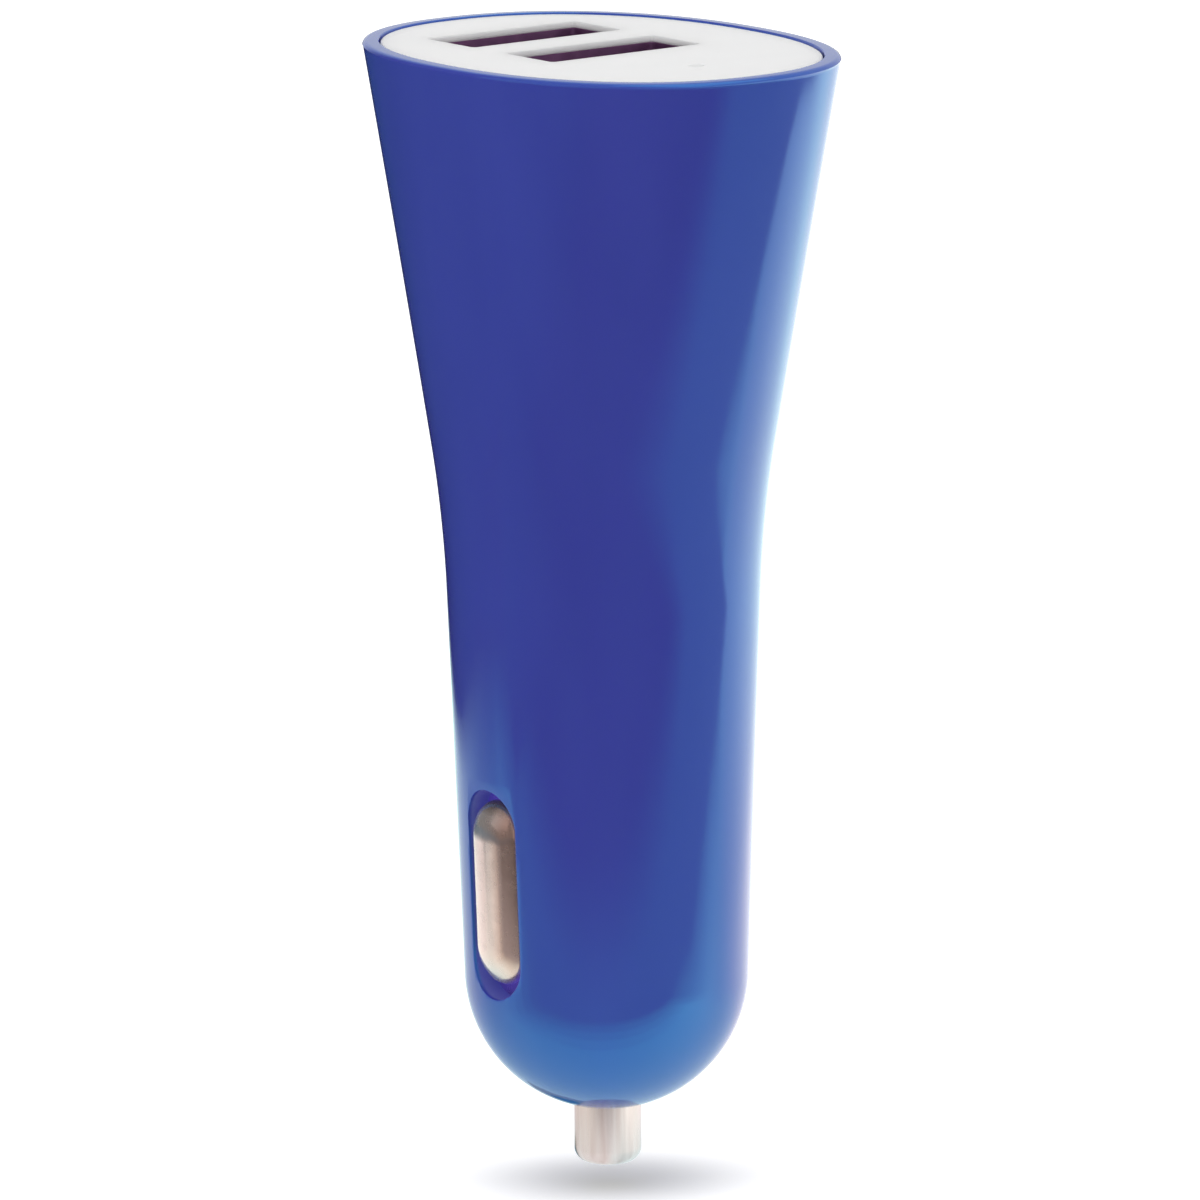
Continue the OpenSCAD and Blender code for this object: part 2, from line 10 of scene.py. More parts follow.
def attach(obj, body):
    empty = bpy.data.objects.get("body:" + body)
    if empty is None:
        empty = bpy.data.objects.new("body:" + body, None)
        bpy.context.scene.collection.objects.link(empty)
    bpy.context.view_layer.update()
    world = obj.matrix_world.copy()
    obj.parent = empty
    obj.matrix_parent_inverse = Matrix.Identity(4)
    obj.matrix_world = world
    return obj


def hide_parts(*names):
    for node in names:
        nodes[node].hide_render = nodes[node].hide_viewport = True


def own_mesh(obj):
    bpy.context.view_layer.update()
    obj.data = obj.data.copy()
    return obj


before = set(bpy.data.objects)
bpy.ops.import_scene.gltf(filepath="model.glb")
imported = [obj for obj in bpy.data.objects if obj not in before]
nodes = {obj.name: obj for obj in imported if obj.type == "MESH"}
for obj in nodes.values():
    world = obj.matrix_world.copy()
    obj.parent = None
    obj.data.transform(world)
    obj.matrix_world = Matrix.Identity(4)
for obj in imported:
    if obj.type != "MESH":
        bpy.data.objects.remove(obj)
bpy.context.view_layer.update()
mm = 0.001

# Body shell.
# One thin-walled injection moulding in glossy blue plastic: domed end, tapered barrel, oval head.
# It is drawn as rings that are extruded one from the next, out over the wall and back down inside it.
total_h = 77 * mm
wall = 1.6 * mm
barrel_r = 9.7 * mm
neck_r = 10.85 * mm
neck_z = 45 * mm
neck_blend = 5 * mm
dome_z = 13.6 * mm
head_half_x = 13.85 * mm
head_half_y = 17.84 * mm
head_square = 2.23
rim_wall = 1.1 * mm
rim_round = 0.35 * mm
rim_edge = 0.06 * mm
ledge_z = 74.9 * mm
pin_hole_r = 2.4 * mm
pin_floor_z = 6.6 * mm
well_r = 3.45 * mm
well_wall = 1 * mm
well_top = 13.02 * mm
draft = (neck_r - barrel_r) / (neck_z - dome_z)
outer_around = 192


def barrel_radius(z):
    return barrel_r + draft * (z - dome_z)


def flare(z):
    if z <= neck_z - neck_blend:
        return 0.0
    run = z - neck_z
    if run < neck_blend:
        run = (run + neck_blend) ** 2 / (4 * neck_blend)
    return run / (total_h - neck_z)


def oval(z, section_z, inset):
    """One ring: its height, half widths along X and Y, and squareness, on the body's section at section_z."""
    grown = flare(section_z)
    radius = barrel_radius(section_z)
    top = barrel_radius(total_h)
    half_x = radius + (head_half_x - top) * grown - inset
    half_y = radius + (head_half_y - top) * grown - inset
    return z, half_x, half_y, 2 + (head_square - 2) * grown


def turned(z, radius):
    return z, radius, radius, 2.0


def steps(low, high, count):
    return [low + (high - low) * i / count for i in range(1, count + 1)]


def deselect():
    bpy.ops.object.select_all(action="DESELECT")


def ring_stack(name, rings, around, cap):
    """Extrudes a circle from ring to ring. cap closes the two ends with faces, or else joins them to each other."""
    deselect()
    z, half_x, half_y, _ = rings[0]
    bpy.ops.mesh.primitive_circle_add(vertices=around, radius=half_x, location=(0, 0, z))
    piece = bpy.context.object
    piece.name = name
    bpy.ops.object.transform_apply(location=True, rotation=True, scale=True)
    bpy.ops.object.mode_set(mode="EDIT")
    bpy.ops.mesh.select_all(action="SELECT")
    bpy.ops.transform.resize(value=(1, half_y / half_x, 1), center_override=(0, 0, z))
    if cap:
        bpy.ops.mesh.edge_face_add()
        bpy.ops.mesh.select_all(action="SELECT")
        bpy.ops.mesh.select_mode(type="EDGE")
    for new_z, new_x, new_y, _ in rings[1:]:
        bpy.ops.mesh.extrude_edges_move(TRANSFORM_OT_translate={"value": (0, 0, new_z - z)})
        bpy.ops.transform.resize(value=(new_x / half_x, new_y / half_y, 1), center_override=(0, 0, new_z))
        z, half_x, half_y = new_z, new_x, new_y
    if cap:
        bpy.ops.mesh.edge_face_add()
    else:
        bpy.ops.mesh.select_all(action="DESELECT")
        bpy.ops.mesh.select_non_manifold()
        bpy.ops.mesh.bridge_edge_loops()
    bpy.ops.object.mode_set(mode="OBJECT")
    # The rings are ellipses so far. Each takes its own squareness here.
    for k, (z, half_x, half_y, square) in enumerate(rings):
        for v in piece.data.vertices[k * around : (k + 1) * around]:
            turn = math.atan2(v.co.y / half_y, v.co.x / half_x)
            c, s = math.cos(turn), math.sin(turn)
            v.co.x = half_x * math.copysign(abs(c) ** (2 / square), c)
            v.co.y = half_y * math.copysign(abs(s) ** (2 / square), s)
            v.co.z = z
    bpy.ops.object.mode_set(mode="EDIT")
    bpy.ops.mesh.select_all(action="SELECT")
    bpy.ops.mesh.normals_make_consistent(inside=False)
    bpy.ops.object.mode_set(mode="OBJECT")
    return piece


hole_turn = math.asin(pin_hole_r / barrel_r)
body_rings = [turned(dome_z - barrel_r * math.cos(a), barrel_r * math.sin(a))
              for a in [hole_turn] + steps(hole_turn, math.pi / 2, 26)]
body_rings += [oval(z, z, 0) for z in steps(dome_z, neck_z - neck_blend, 11)]
body_rings += [oval(z, z, 0) for z in steps(neck_z - neck_blend, neck_z + neck_blend, 20)]
# A last narrow ring keeps the reflections straight up to where the rim's rounding starts.
rim_low = total_h - rim_round
body_rings += [oval(z, z, 0) for z in steps(neck_z + neck_blend, rim_low - 0.12 * mm, 14) + [rim_low]]
body_rings += [oval(total_h - rim_round * (1 - math.sin(a)), total_h, rim_round * (1 - math.cos(a)))
               for a in steps(0, math.pi / 2, 6)]
body_rings += [oval(total_h, total_h, rim_wall - rim_edge), oval(total_h - rim_edge, total_h, rim_wall)]
body_rings += [oval(ledge_z, total_h, rim_wall)]
body_rings += [oval(z, z, wall) for z in [ledge_z] + steps(ledge_z, neck_z + neck_blend, 6)]
body_rings += [oval(z, z, wall) for z in steps(neck_z + neck_blend, neck_z - neck_blend, 8)]
body_rings += [oval(z, z, wall) for z in steps(neck_z - neck_blend, dome_z, 5)]
bore_r = barrel_r - wall
well_turn = math.asin((well_r + well_wall) / bore_r)
body_rings += [turned(dome_z - bore_r * math.cos(a), bore_r * math.sin(a))
               for a in steps(math.pi / 2, well_turn, 10)]
body_rings += [turned(well_top, well_r + well_wall), turned(well_top, well_r)]
body_rings += [turned(pin_floor_z, well_r), turned(pin_floor_z, pin_hole_r)]
body = ring_stack("body_moulding", body_rings, outer_around, cap=False)

window_w = 5.2 * mm
window_h = 14.6 * mm
window_z = 20.1 * mm
window_edge = 0.12 * mm
window_low = window_z - window_h / 2
cutter_depth = 8 * mm
cutter_x = barrel_r + 1 * mm


def stadium_block(name, width, length, depth, centre, around=64):
    """A block along X whose outline is two half circles joined by straight sides, length up Z."""
    deselect()
    bpy.ops.mesh.primitive_cylinder_add(vertices=around, radius=width / 2, depth=depth, location=(0, 0, 0),
                                        rotation=(0, math.pi / 2, 0))
    block = bpy.context.object
    block.name = name
    bpy.ops.object.transform_apply(location=True, rotation=True, scale=True)
    bpy.ops.object.mode_set(mode="EDIT")
    bpy.ops.mesh.select_all(action="SELECT")
    bpy.ops.transform.rotate(value=math.pi / around, orient_axis="X", center_override=(0, 0, 0))
    bpy.ops.object.mode_set(mode="OBJECT")
    for v in block.data.vertices:
        v.co.z += math.copysign((length - width) / 2, v.co.z)
        v.co += centre
    return block


def cut(piece, cutter, operation="DIFFERENCE"):
    """Cuts, or joins, with another solid, which is then gone."""
    tool = piece.modifiers.new("cut", "BOOLEAN")
    tool.operation = operation
    tool.solver = "EXACT"
    tool.object = cutter
    deselect()
    bpy.context.view_layer.objects.active = piece
    piece.select_set(True)
    bpy.ops.object.modifier_apply(modifier=tool.name)
    bpy.data.objects.remove(cutter)


for side in (-1, 1):
    cut(body, stadium_block("window_cutter", window_w, window_h, cutter_depth, Vector((side * cutter_x, 0, window_z))))


def select_edges(piece, chosen):
    """Selects in Edit Mode the edges that chosen(edge) picks."""
    bpy.ops.mesh.select_mode(type="EDGE")
    bpy.ops.mesh.select_all(action="DESELECT")
    mesh = bmesh.from_edit_mesh(piece.data)
    for edge in mesh.edges:
        if chosen(edge):
            edge.select_set(True)
    bmesh.update_edit_mesh(piece.data)


def bevel_edges(piece, chosen, width, segments):
    """Rounds the edges that chosen(edge) picks."""
    deselect()
    bpy.context.view_layer.objects.active = piece
    piece.select_set(True)
    bpy.ops.object.mode_set(mode="EDIT")
    select_edges(piece, chosen)
    bpy.ops.mesh.bevel(offset=width, segments=segments, affect="EDGES", clamp_overlap=True)
    bpy.ops.object.mode_set(mode="OBJECT")


def window_outer_edge(edge):
    """Whether the edge is where a window's wall meets the barrel's outer skin."""
    a, b = edge.verts
    middle = (a.co + b.co) / 2
    slack = 0.1 * mm
    if abs(middle.z - window_z) > window_h / 2 + slack or abs(middle.y) > window_w / 2 + slack:
        return False
    if abs(middle.x) < barrel_r - 1.2 * mm or len(edge.link_faces) != 2:
        return False
    outside = [face for face in edge.link_faces if abs(face.normal.x) > 0.6 and abs(face.normal.z) < 0.2]
    return len(outside) == 1 and edge.calc_face_angle(0) > 0.7


bevel_edges(body, window_outer_edge, window_edge, 2)


def smooth(piece, degrees):
    deselect()
    bpy.context.view_layer.objects.active = piece
    piece.select_set(True)
    bpy.ops.object.shade_smooth_by_angle(angle=math.radians(degrees))


smooth(body, 32)


class Surface:
    """A material on one Principled shader, whose patterns all read Object coordinates."""

    def __init__(self, name, **sockets):
        self.material = bpy.data.materials.new(name)
        self.material.use_nodes = True
        self.tree = self.material.node_tree
        self.shader = self.tree.nodes["Principled BSDF"]
        for socket, value in sockets.items():
            self.shader.inputs[socket.replace("_", " ")].default_value = value
        self.place = self.tree.nodes.new("ShaderNodeTexCoord").outputs["Object"]
        self.height = None

    def link(self, out, into):
        self.tree.links.new(out, into)

    def noise(self, per_mm, detail=3, stretch=(1, 1, 1)):
        """Cloudy noise with about per_mm features in a millimetre; stretch is a share of that along each axis."""
        scale = self.tree.nodes.new("ShaderNodeMapping")
        scale.inputs["Scale"].default_value = [per_mm / mm * s for s in stretch]
        self.link(self.place, scale.inputs["Vector"])
        node = self.tree.nodes.new("ShaderNodeTexNoise")
        node.inputs["Scale"].default_value = 1
        node.inputs["Detail"].default_value = detail
        self.link(scale.outputs["Vector"], node.inputs["Vector"])
        return node.outputs["Fac"]

    def ramp(self, factor, *stops):
        node = self.tree.nodes.new("ShaderNodeValToRGB")
        while len(node.color_ramp.elements) < len(stops):
            node.color_ramp.elements.new(0.5)
        for element, (position, colour) in zip(node.color_ramp.elements, stops):
            element.position = position
            element.color = (*colour, 1)
        self.link(factor, node.inputs["Fac"])
        return node.outputs["Color"]

    def spread(self, factor, low, high, start=0.3, end=0.7):
        node = self.tree.nodes.new("ShaderNodeMapRange")
        for socket, value in (("From Min", start), ("From Max", end), ("To Min", low), ("To Max", high)):
            node.inputs[socket].default_value = value
        self.link(factor, node.inputs["Value"])
        return node.outputs["Result"]

    def arith(self, operation, *terms, kind="ShaderNodeMath"):
        """One arithmetic node. Each term is a socket or a constant."""
        node = self.tree.nodes.new(kind)
        node.operation = operation
        for socket, term in zip(node.inputs, terms):
            self.feed(term, socket)
        return next(out for out in node.outputs if out.enabled)

    def mix(self, factor, first, second, blend="MIX"):
        """first where factor is 0 and second where it is 1. Each is a socket or a constant."""
        node = self.tree.nodes.new("ShaderNodeMix")
        node.data_type = "RGBA"
        node.blend_type = blend
        for socket, term in (("Factor", factor), ("A", first), ("B", second)):
            self.feed(term, node.inputs[socket])
        return node.outputs["Result"]

    def feed(self, term, into):
        if isinstance(term, bpy.types.NodeSocket):
            self.link(term, into)
        else:
            into.default_value = term

    def along(self, axis):
        """The Object coordinate along X, Y or Z."""
        node = self.tree.nodes.new("ShaderNodeSeparateXYZ")
        self.link(self.place, node.inputs[0])
        return node.outputs[axis]

    def colour(self, out):
        self.link(out, self.shader.inputs["Base Color"])

    def glow(self, colour, strength):
        """Paints a glow, standing for light that has come through the plastic."""
        self.shader.inputs["Emission Color"].default_value = (*colour, 1)
        self.link(strength, self.shader.inputs["Emission Strength"])

    def roughness(self, factor, low, high):
        self.link(self.spread(factor, low, high), self.shader.inputs["Roughness"])

    def relief(self, factor, depth_mm):
        """Adds bump of that depth. A second call stands on the first."""
        node = self.tree.nodes.new("ShaderNodeBump")
        node.inputs["Distance"].default_value = depth_mm * mm
        self.link(factor, node.inputs["Height"])
        if self.height:
            self.link(self.height, node.inputs["Normal"])
        self.height = node.outputs["Normal"]
        self.link(self.height, self.shader.inputs["Normal"])


def dress(piece, surface):
    piece.data.materials.clear()
    piece.data.materials.append(surface.material)


blue = Surface("blue_moulding", IOR=1.7, Specular_IOR_Level=1.0, Specular_Tint=(0.06, 0.62, 1.0, 1),
               Subsurface_Weight=0.3, Subsurface_Radius=(0.4, 0.25, 1.0), Subsurface_Scale=1.2 * mm)
blue_cloud = blue.noise(0.12, detail=2, stretch=(1, 1, 0.25))
blue_skin = blue.ramp(blue_cloud, (0.3, (0.060, 0.070, 0.417)), (0.7, (0.068, 0.080, 0.451)))
# Below the skin, in the windows, the wall is painted lighter and given a painted glow, standing for the light that has
# come through it.
flat = blue.arith("MULTIPLY", blue.place, (1, 1, 0), kind="ShaderNodeVectorMath")
from_axis = blue.arith("LENGTH", flat, kind="ShaderNodeVectorMath")
level = blue.along("Z")
untapered = blue.arith("MULTIPLY_ADD", level, -draft, from_axis)
skin_r = barrel_r - draft * dome_z
below_skin = blue.spread(untapered, 1, 0, skin_r - 0.35 * mm, skin_r - 0.12 * mm)
above_dome = blue.spread(level, 0, 1, window_low - 0.5 * mm, window_low - 0.2 * mm)
window_wall_painted_glow = blue.arith("MULTIPLY", below_skin, above_dome)
blue.colour(blue.mix(window_wall_painted_glow, blue_skin, (0.15, 0.17, 0.43, 1)))
blue.glow((0.21, 0.19, 0.85), blue.spread(window_wall_painted_glow, 0, 0.09, 0, 1))
blue.roughness(blue.noise(0.5, detail=3, stretch=(1, 1, 0.2)), 0.07, 0.12)
blue.relief(blue.noise(0.16, detail=1, stretch=(1, 1, 0.12)), 0.010)
blue.relief(blue.noise(1.1, detail=2), 0.0006)
dress(body, blue)
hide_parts("body_shell")
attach(body, "plug")

# Side contacts.
# Two pressed strips of nickel-plated spring sheet: a long bump with a crowned land shows in each window,
# its flange lies behind the window, and a leaf runs up to a tab that is soldered to the board.
contact_sheet = 0.4 * mm
contact_proud = 0.35 * mm
land_w = 3.4 * mm
land_l = 10.6 * mm
bump_w = window_w - 0.24 * mm
bump_l = window_h - 1.7 * mm
flange_w = 6.2 * mm
flange_l = 17.6 * mm
flange_out = 2.318 * mm
leaf_half = 2 * mm
tab_low = 11.4 * mm
tab_high = 14.4 * mm
tab_side = 3.15 * mm
tab_reach = 3.4 * mm
contact_r = barrel_radius(window_z)
contact_around = 64


# Outlines from the middle of the land outwards: width, length and how far it stands out of the barrel.
contact_outlines = [
    (0.4 * mm, 7.6 * mm, contact_proud),
    (1.3 * mm, 8.5 * mm, contact_proud - 0.05 * mm),
    (2.2 * mm, 9.4 * mm, contact_proud - 0.13 * mm),
    (land_w - 0.5 * mm, land_l - 0.5 * mm, contact_proud - 0.24 * mm),
    (land_w - 0.3 * mm, land_l - 0.2 * mm, contact_proud - 0.31 * mm),
    (land_w + 0.1 * mm, land_l + 0.25 * mm, contact_proud - 0.44 * mm),
    (bump_w - 0.8 * mm, bump_l - 1.15 * mm, contact_proud - 0.68 * mm),
    (bump_w - 0.35 * mm, bump_l - 0.5 * mm, contact_proud - 0.95 * mm),
    (bump_w - 0.1 * mm, bump_l - 0.12 * mm, contact_proud - 1.3 * mm),
    (bump_w, bump_l, contact_proud - 1.75 * mm),
    (bump_w, bump_l, 0.3 * mm - flange_out),
    (bump_w + 0.2 * mm, bump_l + 0.2 * mm, 0.08 * mm - flange_out),
    (bump_w + 0.6 * mm, bump_l + 0.6 * mm, -flange_out),
    (flange_w, flange_l, -flange_out),
]


def make_contact(name):
    """Draws a strip with its middle at the origin, then leans it and puts it in its place on the right side."""
    around = contact_around
    deselect()
    bpy.ops.mesh.primitive_circle_add(vertices=around, radius=1 * mm, location=(0, 0, 0), rotation=(0, math.pi / 2, 0))
    strip = bpy.context.object
    strip.name = name
    bpy.ops.object.transform_apply(location=True, rotation=True, scale=True)
    bpy.ops.object.mode_set(mode="EDIT")
    bpy.ops.mesh.select_all(action="SELECT")
    bpy.ops.transform.rotate(value=math.pi / around, orient_axis="X", center_override=(0, 0, 0))
    bpy.ops.mesh.edge_face_add()
    bpy.ops.mesh.select_mode(type="EDGE")
    bpy.ops.mesh.select_all(action="SELECT")
    for _ in contact_outlines[1:]:
        bpy.ops.mesh.extrude_edges_move(TRANSFORM_OT_translate={"value": (-0.1 * mm, 0, 0)})
    bpy.ops.object.mode_set(mode="OBJECT")
    # Each round ring takes its own oblong outline and depth.
    for k, (width, length, out) in enumerate(contact_outlines):
        for v in strip.data.vertices[k * around : (k + 1) * around]:
            turn = math.atan2(v.co.z, v.co.y)
            v.co.x = out
            v.co.y = width / 2 * math.cos(turn)
            v.co.z = width / 2 * math.sin(turn) + math.copysign((length - width) / 2, math.sin(turn))
    # The leaf is drawn up from the top of the flange, and its tab is folded out of the leaf's side.
    bpy.ops.object.mode_set(mode="EDIT")
    top = flange_l / 2 - 0.75 * mm
    select_edges(strip, lambda e: e.is_boundary and all(v.co.z > top and abs(v.co.y) < leaf_half for v in e.verts))
    for height in (tab_low, tab_high):
        bpy.ops.mesh.extrude_edges_move(TRANSFORM_OT_translate={"value": (0, 0, 0)})
        for v in bmesh.from_edit_mesh(strip.data).verts:
            if v.select:
                v.co.z = height

    def leaf_side(edge):
        a, b = edge.verts
        return (edge.is_boundary and min(a.co.z, b.co.z) > tab_low - 0.01 * mm
                and min(a.co.y, b.co.y) > 0.5 * leaf_half and abs(a.co.y - b.co.y) < 1e-7)

    select_edges(strip, leaf_side)
    side = max(v.co.y for v in bmesh.from_edit_mesh(strip.data).verts if v.select)
    bpy.ops.mesh.extrude_edges_move(TRANSFORM_OT_translate={"value": (0, tab_side - side, 0)})
    bpy.ops.mesh.extrude_edges_move(TRANSFORM_OT_translate={"value": (-tab_reach, 0, 0)})
    bpy.ops.mesh.select_all(action="SELECT")
    bpy.ops.mesh.normals_make_consistent(inside=False)
    bpy.ops.object.mode_set(mode="OBJECT")
    land = min(strip.data.polygons, key=lambda face: (face.center - Vector((contact_proud, 0, 0))).length)
    if land.normal.x < 0:
        strip.data.flip_normals()
    skin = strip.modifiers.new("sheet", "SOLIDIFY")
    skin.thickness = contact_sheet
    skin.offset = -1
    bpy.ops.object.modifier_apply(modifier=skin.name)
    strip.rotation_euler = (0, math.atan(draft), 0)
    strip.location = (contact_r, 0, window_z)
    bpy.ops.object.transform_apply(location=True, rotation=True, scale=True)
    smooth(strip, 50)
    return strip


nickel = Surface("nickel_plate", Metallic=0.82)
# The plating is painted brighter along one edge of each land and browner along the other, a painted highlight and
# painted shade over its warm tone, and clouded all over.
land_edge = barrel_r * land_w / 2
toward_edge = nickel.arith("MULTIPLY", nickel.along("X"), nickel.along("Y"))
land_sheen_and_shade = nickel.ramp(nickel.spread(toward_edge, 0, 1, -land_edge, land_edge), (0.03, (0.97, 0.92, 0.90)),
                     (0.32, (0.94, 0.85, 0.81)), (0.62, (0.87, 0.71, 0.66)), (0.97, (0.86, 0.55, 0.46)))
cloud = nickel.ramp(nickel.noise(0.6, detail=4), (0.3, (0.94, 0.93, 0.92)), (0.7, (1, 1, 1)))
plating_with_painted_sheen = nickel.mix(1, land_sheen_and_shade, cloud, "MULTIPLY")
# Its upper end is painted a darker brown, a painted shade, and the foot, down in the window, is painted violet and
# given a painted glow, standing for light that has come through the blue wall.
land_top = window_z + land_l / 2
top_end_painted_shade = nickel.spread(nickel.along("Z"), 0, 0.85, land_top + 0.2 * mm, land_top + 0.9 * mm)
reach = nickel.arith("ABSOLUTE", nickel.along("X"))
foot_r = contact_r - 1.15 * mm
nickel.colour(nickel.mix(nickel.spread(reach, 0, 1, foot_r, foot_r + 0.4 * mm), (0.50, 0.26, 1.0, 1),
                         nickel.mix(top_end_painted_shade, plating_with_painted_sheen, (0.30, 0.205, 0.17, 1))))
nickel.glow((0.27, 0.21, 0.8), nickel.spread(reach, 0.12, 0, foot_r, foot_r + 0.35 * mm))
nickel.roughness(nickel.noise(1.4, detail=4), 0.2, 0.3)
nickel.relief(nickel.noise(1.6, detail=3, stretch=(1, 1, 0.4)), 0.0016)
nickel.relief(nickel.noise(9, detail=2, stretch=(1, 1, 0.15)), 0.0008)

right_contact = make_contact("contact_right")
left_contact = make_contact("contact_left")
for v in left_contact.data.vertices:
    v.co.x = -v.co.x
left_contact.data.flip_normals()
for strip, side in ((left_contact, "left"), (right_contact, "right")):
    dress(strip, nickel)
    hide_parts("side_contact_" + side)
    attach(strip, side + "_contact")

# Centre pin with its spring and seat.
# The pin is turned from brass and nickel plated, and slides up against a coil spring of steel wire;
# the seat above the spring is tinned brass, soldered to the board. The pin and the seat are the CAD's own.
pin_metal = Surface("pin_nickel", Metallic=1.0)
pin_draw = pin_metal.noise(1.1, detail=3, stretch=(1, 1, 0.06))
# Its tone is painted warm on the left and neutral on the right, as the photograph shows it: a painted reflection tint.
pin_right = (0.788, -0.616, 0)
pin_side = pin_metal.arith("DOT_PRODUCT", pin_metal.place, pin_right, kind="ShaderNodeVectorMath")
pin_warm_painted_reflection = pin_metal.ramp(pin_draw, (0.32, (0.61, 0.385, 0.355)), (0.5, (0.73, 0.49, 0.46)),
                          (0.68, (0.80, 0.57, 0.54)))
pin_plain = pin_metal.ramp(pin_draw, (0.32, (0.53, 0.43, 0.415)), (0.5, (0.64, 0.54, 0.525)),
                           (0.68, (0.70, 0.63, 0.61)))
pin_metal.colour(pin_metal.mix(pin_metal.spread(pin_side, 0, 1, -0.2 * mm, 1.0 * mm), pin_warm_painted_reflection, pin_plain))
pin_metal.roughness(pin_draw, 0.2, 0.3)
pin_metal.relief(pin_metal.noise(7, detail=2, stretch=(1, 1, 0.1)), 0.0006)
dress(nodes["centre_pin"], pin_metal)

spring_low = 7.64 * mm
spring_high = 17.30 * mm
spring_r = 2.45 * mm
spring_wire_r = 0.25 * mm
spring_turns = 7
deselect()
bpy.ops.mesh.primitive_circle_add(vertices=12, radius=spring_wire_r, location=(spring_r, 0, spring_low + spring_wire_r),
                                  rotation=(math.pi / 2, 0, 0))
spring = bpy.context.object
spring.name = "pin_spring_wire"
bpy.ops.object.transform_apply(location=True, rotation=True, scale=True)
coil = spring.modifiers.new("coil", "SCREW")
coil.axis = "Z"
coil.angle = 2 * math.pi * spring_turns
coil.screw_offset = spring_high - spring_low - 2 * spring_wire_r
coil.steps = 24 * spring_turns
coil.render_steps = coil.steps
bpy.ops.object.modifier_apply(modifier=coil.name)
bpy.ops.object.mode_set(mode="EDIT")
bpy.ops.mesh.select_all(action="DESELECT")
bpy.ops.mesh.select_mode(type="EDGE")
bpy.ops.mesh.select_non_manifold()
bpy.ops.mesh.fill_holes(sides=0)
bpy.ops.mesh.select_all(action="SELECT")
bpy.ops.mesh.normals_make_consistent(inside=False)
bpy.ops.object.mode_set(mode="OBJECT")
smooth(spring, 50)
wire = Surface("spring_wire", Metallic=1.0)
wire.colour(wire.ramp(wire.noise(0.8), (0.3, (0.42, 0.41, 0.41)), (0.7, (0.58, 0.57, 0.56))))
wire.roughness(wire.noise(2), 0.24, 0.36)
wire.relief(wire.noise(6), 0.001)
dress(spring, wire)
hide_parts("pin_spring")
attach(spring, "plug")
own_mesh(spring)

gilt = Surface("tinned_brass", Metallic=1.0)
gilt.colour(gilt.ramp(gilt.noise(0.9, detail=4), (0.3, (0.62, 0.45, 0.18)), (0.7, (0.78, 0.60, 0.30))))
gilt.roughness(gilt.noise(1.5), 0.22, 0.34)
gilt.relief(gilt.noise(4), 0.0015)
for name in ("spring_seat", "port_contacts_front", "port_contacts_rear"):
    dress(nodes[name], gilt)

# Circuit board and what is soldered to it.
# Green solder mask over glass-fibre board; wound choke, two electrolytic capacitors, fuse, two chips,
# diode, ceramic resistors and capacitors, indicator and its two leads. The CAD's own solids, dressed.
mask = Surface("solder_mask", Coat_Weight=0.5, Coat_Roughness=0.15)
traces = mask.noise(0.45, detail=0, stretch=(1, 0.2, 0.5))
mask.colour(mask.ramp(traces, (0.44, (0.012, 0.10, 0.045)), (0.5, (0.02, 0.17, 0.075)), (0.56, (0.012, 0.11, 0.05))))
mask.roughness(mask.noise(3), 0.3, 0.45)
mask.relief(traces, 0.02)
dress(nodes["circuit_board"], mask)

ferrite = Surface("ferrite")
ferrite.colour(ferrite.ramp(ferrite.noise(2, detail=5), (0.3, (0.03, 0.03, 0.032)), (0.7, (0.075, 0.073, 0.075))))
ferrite.roughness(ferrite.noise(4), 0.55, 0.8)
ferrite.relief(ferrite.noise(6, detail=4), 0.01)
dress(nodes["inductor_core"], ferrite)

enamel = Surface("enamelled_copper", Metallic=1.0, Coat_Weight=0.6, Coat_Roughness=0.1)
enamel.colour(enamel.ramp(enamel.noise(1.2, stretch=(1, 3, 1)), (0.3, (0.50, 0.20, 0.07)), (0.7, (0.72, 0.34, 0.14))))
enamel.roughness(enamel.noise(2), 0.25, 0.38)
enamel.relief(enamel.noise(1.5, stretch=(0.2, 4, 0.2)), 0.02)
dress(nodes["inductor_winding"], enamel)

sleeve = Surface("capacitor_sleeve", Coat_Weight=0.3, Coat_Roughness=0.2)
sleeve.colour(sleeve.ramp(sleeve.noise(0.7), (0.3, (0.012, 0.013, 0.022)), (0.7, (0.026, 0.028, 0.045))))
sleeve.roughness(sleeve.noise(2), 0.32, 0.5)
sleeve.relief(sleeve.noise(3), 0.004)
for name in ("input_capacitor", "output_capacitor"):
    dress(nodes[name], sleeve)

fuse_coat = Surface("fuse_coat")
fuse_coat.colour(fuse_coat.ramp(fuse_coat.noise(1.2), (0.3, (0.05, 0.22, 0.09)), (0.7, (0.10, 0.33, 0.15))))
fuse_coat.roughness(fuse_coat.noise(2), 0.35, 0.5)
fuse_coat.relief(fuse_coat.noise(3), 0.006)
dress(nodes["input_fuse"], fuse_coat)

epoxy = Surface("chip_epoxy")
epoxy.colour(epoxy.ramp(epoxy.noise(3, detail=5), (0.3, (0.010, 0.010, 0.011)), (0.7, (0.024, 0.024, 0.026))))
epoxy.roughness(epoxy.noise(5), 0.5, 0.7)
epoxy.relief(epoxy.noise(9, detail=3), 0.003)
for name in ("converter_chip", "charge_chip", "rectifier_diode"):
    dress(nodes[name], epoxy)

ceramic = Surface("chip_ceramic")
ceramic.colour(ceramic.ramp(ceramic.noise(2), (0.3, (0.26, 0.17, 0.10)), (0.7, (0.42, 0.29, 0.17))))
ceramic.roughness(ceramic.noise(4), 0.45, 0.6)
ceramic.relief(ceramic.noise(6), 0.003)
for name in ("chip_resistors", "chip_capacitors"):
    dress(nodes[name], ceramic)

lens = Surface("indicator_lens", IOR=1.5, Transmission_Weight=0.35)
lens.colour(lens.ramp(lens.noise(1), (0.3, (0.10, 0.11, 0.12)), (0.7, (0.14, 0.15, 0.16))))
lens.roughness(lens.noise(2), 0.22, 0.34)
lens.relief(lens.noise(4), 0.002)
dress(nodes["indicator_led"], lens)

